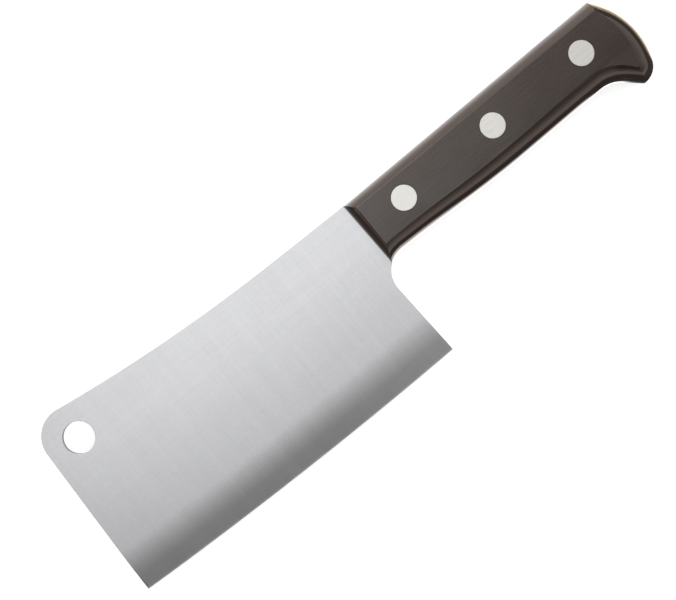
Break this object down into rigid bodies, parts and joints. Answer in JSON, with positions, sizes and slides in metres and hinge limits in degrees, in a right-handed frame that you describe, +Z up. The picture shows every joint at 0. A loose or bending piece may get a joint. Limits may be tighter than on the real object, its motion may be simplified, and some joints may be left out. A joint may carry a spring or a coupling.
{
  "type": "cleaver",
  "caption": "Small full-tang kitchen cleaver with a rectangular steel blade, a hang hole in its front corner and a riveted plastic handle with a hooked butt.",
  "frame": {"origin": "on the surface that the cleaver lies on, under the middle of its bounding box", "axes": "+X along the handle towards the butt, +Y towards the spine, +Z up out of the left side"},
  "size_m": [0.283, 0.0796, 0.018],
  "materials": {
    "steel": "satin, ground across the blade",
    "scale": "sanded flats with a polished crown",
    "rivet": "sanded flush with the scales"
  },
  "bodies": {
    "root": {"blade": "steel", "left_scale": "scale", "right_scale": "scale", "front_rivet_pin": "rivet", "front_rivet_tube": "rivet", "middle_rivet_pin": "rivet", "middle_rivet_tube": "rivet", "rear_rivet_pin": "rivet", "rear_rivet_tube": "rivet"}
  },
  "joints": []
}
